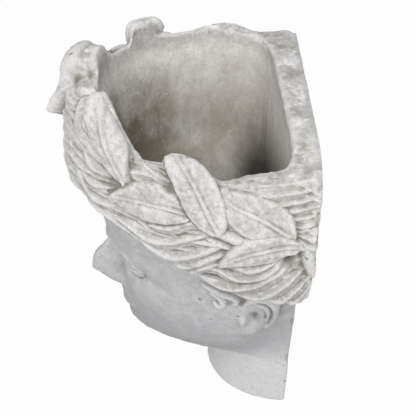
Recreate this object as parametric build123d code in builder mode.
"""Wall planter cast in concrete as a laurel-wreathed classical head with a flat back.

Units are millimetres. The origin is the centre of the keyhole in the hanger plate, on the flat
back of the casting. +Z is up, the face looks along -Y and the wall is on the +Y side.
"""

import os
from math import cos, pi, sin

import numpy as np
from build123d import *
from scipy.interpolate import PchipInterpolator

# Head casting
rim_height = 240.0  # neck base to the rim of the pot
hang_height = 186.0  # neck base to the keyhole
head_width = 146.0  # bare head, temple to temple
head_depth = 128.0  # bare head, flat back to forehead
hair_thickness = 13.0
front_hair = 3.5  # how much thicker the hair is over the forehead
front_hair_shares = (0.35, 0.6)  # where that starts and how far it takes, of a quarter turn
leaf_relief = 5.0  # how far a leaf stands out of the hair
proud_relief = 12.0  # the same for a leaf that bends outward
lock_relief = 3.0  # how far a lock stands out of the hair
leaf_root = 20.0  # how deep leaves and locks run into the casting
leaf_base_share = 0.5  # where the forms start that leaves are cut from, as a share of the rim height
leaf_rise = 22.0  # room above the rim for the leaf tips
rim_swell = 5.0  # how far the rim rises away from the back wall
rim_rounding = 18.0  # height over which the outside rounds off toward the rim
rim_inset = 10.0  # how far it draws in there
rim_inset_share = 0.1  # reach of that from the back corner, as a share of a quarter turn
nose_length = 25.0
face_third = 46.0  # chin to nose, nose to brow, brow to hairline
chin_height = 46.0
hair_swell = 14.0  # height the hair takes to swell out above its edge
nape_tuck = 18.0  # how far the casting draws in behind the ears
nape_share = 0.22  # reach of that from the back corner, as a share of a quarter turn
neck_width = 92.0
neck_depth = 58.0
neck_height = 92.0
neck_edge = 3.0
neck_top_share = 0.93
ear_length = 38.0
ear_width = 30.0
ear_relief = 7.0
ear_rim = 6.0
ear_hollow = 4.0
ear_edge = 2.5
ear_turn_share = 0.055
ear_height_share = 0.475

# Plant cavity and drain
back_wall = 16.0
floor_thickness = 32.0
cavity_width = 142.0  # at the rim
cavity_reach = 121.0  # flat back to the front of the cavity at the rim
cavity_corners = (5.0, 18.0)  # left and right corner at the back wall
cavity_power = 2.5  # section at the rim; 2 would be an ellipse
cavity_power_shares = (0.5, 0.3)  # where it leaves the ellipse and how far that takes, of the rim height
drain_offset = 31.0  # flat back to the drain
drain_diameter = 12.0
plug_clearance = 0.15
plug_flange_diameter = 19.0
plug_flange_thickness = 3.0
plug_seat_depth = 4.0
plug_grip_width = 3.0
plug_grip_depth = 1.5
plug_edge = 1.0

# Wall hanger
plate_width = 62.0
plate_height = 40.0
plate_thickness = 1.5
plate_corner = 4.0
plate_rise = 3.0  # middle of the plate above the keyhole
plate_clearance = 0.3
keyhole_diameter = 10.0
slot_width = 5.0
slot_rise = 11.0
pocket_margin = 3.0
pocket_depth = 9.0
screw_spacing = 46.0
screw_diameter = 3.2
screw_length = 11.0
screw_clearance = 0.2
screw_head_diameter = 6.4
screw_head_height = 1.4
screw_drive_width = 0.9
screw_drive_depth = 0.6
anchor_diameter = 6.0
anchor_length = 11.5

# Wall pads
pad_diameter = 14.0
pad_thickness = 2.0
pad_seat_depth = 1.0
upper_pad_inset = 15.0  # from the side of the bare head
upper_pad_height = 208.0
lower_pad_inset = 19.0  # from the side of the neck
lower_pad_height = 22.0

overrun = 12.0  # every cut runs this far past the face it opens

# Bare head, bottom to top: height as a share of the rim height, half width as a share of half the
# head's width, depth as a share of its depth
height_shares = [0.175, 0.192, 0.21, 0.235, 0.265, 0.31, 0.375, 0.44, 0.52, 0.585, 0.67, 0.79, 1.0, 1.12]
width_shares = [0.38, 0.46, 0.54, 0.62, 0.70, 0.785, 0.85, 0.90, 0.95, 0.97, 0.99, 1.0, 0.98, 0.96]
depth_shares = [0.60, 0.70, 0.79, 0.86, 0.885, 0.895, 0.905, 0.91, 0.91, 0.965, 1.0, 0.99, 0.95, 0.92]
section_power = 2.2  # 2 would be an ellipse
section_count = 48
wreath_section_count = 14
outline_count = 56

# Plant cavity, floor to well above the rim: height as a share of the rim height, width and reach as
# shares of those at the rim
cavity_height_shares = [0.13, 0.25, 0.46, 0.56, 0.70, 1.0, 1.15]
cavity_width_shares = [0.40, 0.48, 0.63, 0.74, 0.95, 1.0, 1.0]
cavity_reach_shares = [0.38, 0.47, 0.76, 0.86, 0.96, 1.0, 1.0]
cavity_section_count = 18

# Edge of the hair: turn from the back corner to the front, as a share of a quarter turn, and height
hairline_turn_shares = [0.0, 0.16, 0.25, 0.33, 0.42, 0.5, 0.6, 0.75, 1.0]
hairline_height_shares = [0.575, 0.60, 0.63, 0.665, 0.695, 0.725, 0.75, 0.765, 0.765]
hair_fullness_heights_shares = [0.0, 0.83, 1.0, 1.12]
hair_fullness_shares = [1.0, 1.0, 0.62, 0.62]

# Soft relief of the face: place across and up from the chin, reach across and up, and relief, all
# as shares of a third of the face
face_shares = [
    (0.52, 2.03, 0.42, 0.16, 0.07),  # brow
    (0.56, 1.76, 0.32, 0.22, -0.20),  # eye socket
    (0.56, 1.75, 0.26, 0.17, 0.14),  # eye
    (0.92, 1.34, 0.40, 0.32, 0.07),  # cheek
    (0.00, 0.72, 0.36, 0.15, 0.11),  # lips
    (0.00, 0.44, 0.40, 0.11, -0.06),  # crease under the lips
    (0.00, 0.18, 0.40, 0.24, 0.10),  # chin
]
nose_bridge_share = 1.92
nose_tip_share = 1.14
nose_base_share = 0.96
nose_root_share = 0.24
nose_half_width_shares = (0.14, 0.26)

# Leaves that lie on the hair, on the left side: turn from the left back corner to the right one as a
# share of a half turn and height as a share of the rim height, first at the stalk and then at the
# tip, and width as a share of length; the right side mirrors them
lying_leaf_shares = [
    (0.022, 0.83, 0.128, 0.93, 0.57),
    (0.012, 0.818, 0.112, 0.74, 0.45),
    (0.145, 0.866, 0.293, 0.858, 0.43),
    (0.012, 0.83, 0.002, 0.74, 0.40),  # end of the ribbon
    (0.13, 0.525, 0.092, 0.57, 0.55),  # curl before the ear
]

# Leaves that stand up over the rim, in the same terms, on both sides
standing_leaf_shares = [
    (0.11, 0.832, 0.162, 1.035, 0.54),
    (0.256, 0.90, 0.335, 1.07, 0.52),
    (0.31, 0.94, 0.435, 1.06, 0.44),
    (0.69, 0.92, 0.56, 1.065, 0.46),
    (0.805, 0.89, 0.74, 1.07, 0.70),
    (0.925, 0.85, 0.895, 1.02, 0.56),
]

# Leaf over the forehead that bends outward, in the same terms
proud_leaf_shares = (0.60, 1.0, 0.472, 1.0, 0.50)

# Dip of the rim on each side, from the back wall forward between the leaves: place forward as a share
# of the bare head's depth, and height as a share of the rim height
left_dip_shares = [(0.20, 0.963), (0.32, 0.945), (0.42, 0.93), (0.52, 0.96), (0.64, 0.96), (0.78, 1.02)]
right_dip_shares = [(0.22, 1.0), (0.28, 1.01), (0.36, 1.022)]

# Locks of hair on the left side, in the same terms; the right side mirrors them
lock_shares = [
    (0.49, 0.93, 0.37, 0.90, 0.24),
    (0.49, 0.885, 0.33, 0.85, 0.20),
    (0.46, 0.835, 0.34, 0.775, 0.24),
    (0.38, 0.84, 0.23, 0.735, 0.17),
    (0.30, 0.80, 0.15, 0.69, 0.17),
    (0.22, 0.78, 0.075, 0.65, 0.17),
    (0.14, 0.735, 0.01, 0.61, 0.19),
    (0.11, 0.71, 0.005, 0.67, 0.22),
    (0.095, 0.915, 0.005, 0.93, 0.22),
    (0.08, 0.89, 0.005, 0.90, 0.22),
]

half_width_at = PchipInterpolator(height_shares, width_shares)
depth_at = PchipInterpolator(height_shares, depth_shares)
hairline_at = PchipInterpolator(hairline_turn_shares, hairline_height_shares)
fullness_at = PchipInterpolator(hair_fullness_heights_shares, hair_fullness_shares)
cavity_width_at = PchipInterpolator(cavity_height_shares, cavity_width_shares)
cavity_reach_at = PchipInterpolator(cavity_height_shares, cavity_reach_shares)


def level(height):
    """Z of a height above the neck base."""
    return height - hang_height


def ease(share):
    """0 to 1 along a smooth step."""
    clipped = min(1.0, max(0.0, share))
    return clipped * clipped * (3 - 2 * clipped)


def nose_relief(across, height):
    bridge = chin_height + nose_bridge_share * face_third
    tip = chin_height + nose_tip_share * face_third
    base = chin_height + nose_base_share * face_third
    along = (bridge - height) / (bridge - tip)
    root, wing = nose_half_width_shares
    half_width = face_third * (root + (wing - root) * min(1.0, max(0.0, along)))
    rise = ease((along + nose_root_share) / (1 + nose_root_share))
    under = ease((height - base) / (tip - base))
    return nose_length * rise * under * np.exp(-abs(across / half_width) ** section_power)


def face_relief(across, height):
    """How far the face stands in front of the bare head."""
    total = nose_relief(across, height)
    for place, up, reach_across, reach_up, relief in face_shares:
        sideways = (abs(across) / face_third - place) / reach_across
        upward = ((height - chin_height) / face_third - up) / reach_up
        total += relief * face_third * np.exp(-(sideways**2) - upward**2)
    return total


def hair_relief(turn, height):
    """Thickness of the hair, less the tuck behind the ears, at a turn from the left back corner."""
    quarter_share = np.arcsin(min(1.0, max(0.0, sin(turn)))) / (pi / 2)
    edge = rim_height * hairline_at(quarter_share)
    swell = ease((height - edge) / hair_swell)
    tuck = nape_tuck * ease(1 - quarter_share / nape_share)
    front_start, front_reach = front_hair_shares
    front = ease((quarter_share - front_start) / front_reach)
    thickness = hair_thickness + front_hair * front
    fullness = fullness_at(height / rim_height)
    fullness += (1 - fullness) * front
    return thickness * fullness * swell - tuck * (1 - swell)


def rim_draw(turn, height):
    """How far the outside draws in as it rounds off toward the rim."""
    rise = min(1.0, max(0.0, 1 - (rim_height + rim_swell - height) / rim_rounding))
    return rim_inset * (1 - (1 - rise**2) ** 0.5) * ease(sin(turn) / sin(rim_inset_share * pi / 2) - 1)


def form_point(turn, height, extra=0.0, bare=False):
    """Point on the outside of the head, with extra thickness over the hair, or bare of leaves."""
    half_width = head_width / 2 * half_width_at(height / rim_height)
    depth = head_depth * depth_at(height / rim_height)
    across = half_width * np.sign(cos(turn)) * abs(cos(turn)) ** (2 / section_power)
    forward = depth * abs(sin(turn)) ** (2 / section_power)
    thickness = hair_relief(turn, height) + extra
    if bare:
        forward += face_relief(across, height) * ease(sin(turn))
        thickness -= rim_draw(turn, height)
    outward = Vector(cos(turn) / half_width, -sin(turn) / depth, 0).normalized()
    return Vector(across, -forward, level(height)) + outward * thickness


def form_outline(height, extra, bare):
    """Outline at a height, from the left back corner round the front, run past the flat back."""
    turns = [pi * index / outline_count for index in range(outline_count + 1)]
    points = [form_point(turn, height, extra, bare) for turn in turns]
    round_front = [(point.X, point.Y) for point in points]
    return [(points[0].X, overrun)] + round_front + [(points[-1].X, overrun)]


def outline_face(outline, height):
    """Flat face at a height inside a smooth outline that a straight line closes at the back."""
    with BuildSketch(Plane.XY.offset(level(height))) as section:
        with BuildLine():
            add(Edge.make_spline(outline, parameters=list(range(len(outline)))))
            Line(outline[-1], outline[0])
        make_face()
    return section.sketch


def form_loft(low, high, count, extra=0.0, bare=False):
    """Solid of the head between two heights."""
    with BuildPart() as form:
        for height in np.linspace(low, high, count):
            add(outline_face(form_outline(height, extra, bare), height))
        loft()
    return form.part


def cavity_point(turn, height):
    """Point on the wall of the plant cavity, from the left back corner round the front."""
    share = height / rim_height
    half_width = cavity_width / 2 * cavity_width_at(share)
    reach = cavity_reach * cavity_reach_at(share) - back_wall
    power_start, power_reach = cavity_power_shares
    power = 2 + (cavity_power - 2) * ease((share - power_start) / power_reach)
    side = np.sign(cos(turn))
    across = half_width * abs(cos(turn)) ** (2 / power)
    forward = reach * abs(sin(turn)) ** (2 / power)
    left_corner, right_corner = cavity_corners
    corner = left_corner if side > 0 else right_corner
    near_back = min(1.0, max(0.0, 1 - forward / corner))
    across -= corner * (1 - (1 - near_back**2) ** 0.5)
    return side * across, -back_wall - forward


def leaf_plane(stalk, tip, outward):
    """Plane of a leaf, with its X axis from the stalk to the tip."""
    along = (tip - stalk).normalized()
    square = (outward - along * outward.dot(along)).normalized()
    return Plane(origin=stalk, x_dir=along, z_dir=square)


def leaf(shares, form):
    """One leaf or lock, cut out of a form of the head through its pointed outline."""
    stalk_turn, stalk_rise, tip_turn, tip_rise, width_share = shares
    stalk = form_point(pi * stalk_turn, rim_height * stalk_rise)
    tip = form_point(pi * tip_turn, rim_height * tip_rise)
    middle_turn = pi * (stalk_turn + tip_turn) / 2
    outward = Vector(cos(middle_turn) / head_width, -sin(middle_turn) / head_depth / 2, 0)
    length = (tip - stalk).length
    with BuildPart() as blade:
        with BuildSketch(leaf_plane(stalk, tip, outward)):
            with BuildLine():
                upper = ThreePointArc((0, 0), (length / 2, width_share * length / 2), (length, 0))
                mirror(upper, about=Plane.XZ)
            make_face()
        extrude(amount=leaf_root, both=True)
        add(form, mode=Mode.INTERSECT)
    return blade.part


def mirrored(shares):
    """The same leaf or lock on the other side of the head."""
    stalk_turn, stalk_rise, tip_turn, tip_rise, width_share = shares
    return 1 - stalk_turn, stalk_rise, 1 - tip_turn, tip_rise, width_share


# Head, and the swollen forms that the leaves and locks are cut from
leaf_base = rim_height * leaf_base_share
leaf_top = rim_height + leaf_rise
head_form = form_loft(rim_height * height_shares[0], rim_height + rim_swell, section_count, bare=True)
leaf_form = form_loft(leaf_base, leaf_top, wreath_section_count, extra=leaf_relief)
proud_form = form_loft(leaf_base, leaf_top, wreath_section_count, extra=proud_relief)
lock_form = form_loft(leaf_base, rim_height, wreath_section_count, extra=lock_relief)
lying_pieces = [leaf(shares, leaf_form) for shares in lying_leaf_shares]
lying_pieces += [leaf(mirrored(shares), leaf_form) for shares in lying_leaf_shares]
lying_pieces += [leaf(shares, lock_form) for shares in lock_shares]
lying_pieces += [leaf(mirrored(shares), lock_form) for shares in lock_shares]
standing_leaves = [leaf(shares, leaf_form) for shares in standing_leaf_shares]
standing_leaves.append(leaf(proud_leaf_shares, proud_form))

# Ears, one ellipse with a hollow on each side of the head
ear_point = form_point(pi * ear_turn_share, rim_height * ear_height_share)
with BuildPart() as left_ear:
    with BuildSketch(Plane.YZ.offset(ear_point.X - ear_relief)):
        with Locations((ear_point.Y, ear_point.Z)):
            Ellipse(ear_width / 2, ear_length / 2)
    extrude(amount=2 * ear_relief)
    fillet(left_ear.faces().sort_by(Axis.X)[-1].edges(), ear_edge)
    with BuildSketch(Plane.YZ.offset(ear_point.X + ear_relief)):
        with Locations((ear_point.Y, ear_point.Z)):
            Ellipse(ear_width / 2 - ear_rim, ear_length / 2 - ear_rim)
    extrude(amount=-ear_hollow, mode=Mode.SUBTRACT)
with BuildPart() as right_ear:
    mirror(left_ear.part, about=Plane.YZ)

# Neck, a half round that widens to its base
with BuildPart() as neck:
    with BuildSketch(Plane.XY.offset(level(0))):
        Ellipse(neck_width / 2, neck_depth)
    with BuildSketch(Plane.XY.offset(level(neck_height))):
        Ellipse(neck_top_share * neck_width / 2, neck_top_share * neck_depth)
    loft()
    chamfer(neck.faces().sort_by(Axis.Z)[0].edges(), neck_edge)

# Space that the plant cavity takes out, its points set closer toward the back corners
cavity_turns = [pi * (1 - cos(pi * index / outline_count)) / 2 for index in range(outline_count + 1)]
cavity_top = rim_height * cavity_height_shares[-1]
with BuildPart() as cavity:
    for height in np.linspace(floor_thickness, cavity_top, cavity_section_count):
        add(outline_face([cavity_point(turn, height) for turn in cavity_turns], height))
    loft()


def rim_dip(dip_shares, reach):
    """Space above the rim on one side, reaching sideways from the middle."""
    with BuildPart() as dip:
        with BuildSketch(Plane.YZ):
            with BuildLine():
                dips = [(-back_wall, level(rim_height))]
                dips += [(-head_depth * place, level(rim_height * rise)) for place, rise in dip_shares]
                Spline(*dips)
                high = level(leaf_top)
                Polyline(dips[-1], (dips[-1][0], high), (overrun, high), (overrun, dips[0][1]), dips[0])
            make_face()
        extrude(amount=reach)
    return dip.part


# Outline of the keyhole plate and of the holes through it, on the flat back
upper_pad_spacing = head_width - 2 * upper_pad_inset
lower_pad_spacing = neck_width - 2 * lower_pad_inset
screw_places = [(-screw_spacing / 2, plate_rise), (screw_spacing / 2, plate_rise)]
pad_places = [
    (-upper_pad_spacing / 2, level(upper_pad_height)),
    (upper_pad_spacing / 2, level(upper_pad_height)),
    (-lower_pad_spacing / 2, level(lower_pad_height)),
    (lower_pad_spacing / 2, level(lower_pad_height)),
]
pocket_top = slot_rise + slot_width / 2 + pocket_margin
pocket_bottom = -keyhole_diameter / 2 - pocket_margin
pocket_width = keyhole_diameter + 2 * pocket_margin
drain_plane = Plane((0, -drain_offset, level(0)))

# Casting with its cavity, drain, hanger seat and pad seats
with BuildPart() as casting:
    add(head_form)
    add(lying_pieces)
    add(rim_dip(left_dip_shares, head_width), mode=Mode.SUBTRACT)
    add(rim_dip(right_dip_shares, -head_width), mode=Mode.SUBTRACT)
    add(neck.part)
    add(standing_leaves)
    add(left_ear.part)
    add(right_ear.part)
    split(bisect_by=Plane.XZ, keep=Keep.TOP)
    add(cavity.part, mode=Mode.SUBTRACT)
    with BuildSketch(drain_plane):
        Circle(drain_diameter / 2)
    extrude(amount=floor_thickness + overrun, mode=Mode.SUBTRACT)
    with BuildSketch(drain_plane):
        Circle(plug_flange_diameter / 2 + plug_clearance)
    extrude(amount=plug_seat_depth, mode=Mode.SUBTRACT)
    with BuildSketch(Plane.XZ):
        with Locations((0, plate_rise)):
            RectangleRounded(
                plate_width + 2 * plate_clearance, plate_height + 2 * plate_clearance, plate_corner
            )
    extrude(amount=plate_thickness, mode=Mode.SUBTRACT)
    with BuildSketch(Plane.XZ):
        with Locations((0, (pocket_top + pocket_bottom) / 2)):
            RectangleRounded(pocket_width, pocket_top - pocket_bottom, pocket_margin)
    extrude(amount=pocket_depth, mode=Mode.SUBTRACT)
    with BuildSketch(Plane.XZ):
        with Locations(*screw_places):
            Circle(anchor_diameter / 2)
    extrude(amount=plate_thickness + anchor_length, mode=Mode.SUBTRACT)
    with BuildSketch(Plane.XZ):
        with Locations(*pad_places):
            Circle(pad_diameter / 2)
    extrude(amount=pad_seat_depth, mode=Mode.SUBTRACT)

# Keyhole plate, flush in the back
with BuildPart() as hanger_plate:
    with BuildSketch(Plane.XZ):
        with Locations((0, plate_rise)):
            RectangleRounded(plate_width, plate_height, plate_corner)
        Circle(keyhole_diameter / 2, mode=Mode.SUBTRACT)
        with Locations((0, slot_rise / 2)):
            SlotCenterToCenter(slot_rise, slot_width, rotation=90, mode=Mode.SUBTRACT)
    extrude(amount=plate_thickness)
    with Locations(Plane.ZX):
        with Locations(*[(up, across) for across, up in screw_places]):
            CounterSinkHole(
                screw_diameter / 2 + screw_clearance,
                screw_head_diameter / 2 + screw_clearance,
                plate_thickness + overrun,
            )

# Countersunk screw, made at the origin and then set in its two places
with BuildPart() as screw:
    with BuildSketch(Plane.XY):
        with BuildLine():
            Polyline(
                (0, 0),
                (screw_head_diameter / 2, 0),
                (screw_diameter / 2, -screw_head_height),
                (screw_diameter / 2, -screw_length),
                (0, -screw_length),
                close=True,
            )
        make_face()
    revolve(axis=Axis.Y)
    with BuildSketch(Plane.XZ):
        Rectangle(screw_head_diameter, screw_drive_width)
    extrude(amount=screw_drive_depth, mode=Mode.SUBTRACT)

# Wall anchor, pressed into the casting behind the plate
with BuildPart() as anchor:
    with BuildSketch(Plane.XZ.offset(plate_thickness)):
        Circle(anchor_diameter / 2)
        Circle(screw_diameter / 2, mode=Mode.SUBTRACT)
    extrude(amount=anchor_length)

# Felt pad, set at the origin
with BuildPart() as pad:
    with BuildSketch(Plane.XZ.offset(pad_seat_depth - pad_thickness)):
        Circle(pad_diameter / 2)
    extrude(amount=pad_thickness)

# Drain plug, pushed up into the neck
with BuildPart() as drain_plug:
    with BuildSketch(drain_plane.offset(plug_seat_depth - plug_flange_thickness)):
        Circle(plug_flange_diameter / 2)
    extrude(amount=plug_flange_thickness)
    with BuildSketch(drain_plane.offset(plug_seat_depth)):
        Circle(drain_diameter / 2 - plug_clearance)
    extrude(amount=floor_thickness - plug_seat_depth)
    chamfer(drain_plug.faces().sort_by(Axis.Z)[-1].edges(), plug_edge)
    with BuildSketch(drain_plane.offset(plug_seat_depth - plug_flange_thickness)):
        Rectangle(plug_flange_diameter, plug_grip_width)
    extrude(amount=plug_grip_depth, mode=Mode.SUBTRACT)


def placed(piece, across, up):
    """A copy of a piece made at the origin, moved over the flat back."""
    with BuildPart(Location((across, 0, up))) as copy:
        add(piece.part)
    return copy.part


pieces = {
    "planter_casting": casting.part,
    "hanger_plate": hanger_plate.part,
    "drain_plug": drain_plug.part,
}
for side, place in zip(["right", "left"], screw_places):
    pieces[f"hanger_screw_{side}"] = placed(screw, *place)
    pieces[f"screw_anchor_{side}"] = placed(anchor, *place)
pad_names = ["upper_right", "upper_left", "lower_right", "lower_left"]
for name, place in zip(pad_names, pad_places):
    pieces[f"wall_pad_{name}"] = placed(pad, *place)

os.makedirs("parts", exist_ok=True)
for name, piece in pieces.items():
    piece.label = name
    export_step(piece, f"parts/{name}.step")
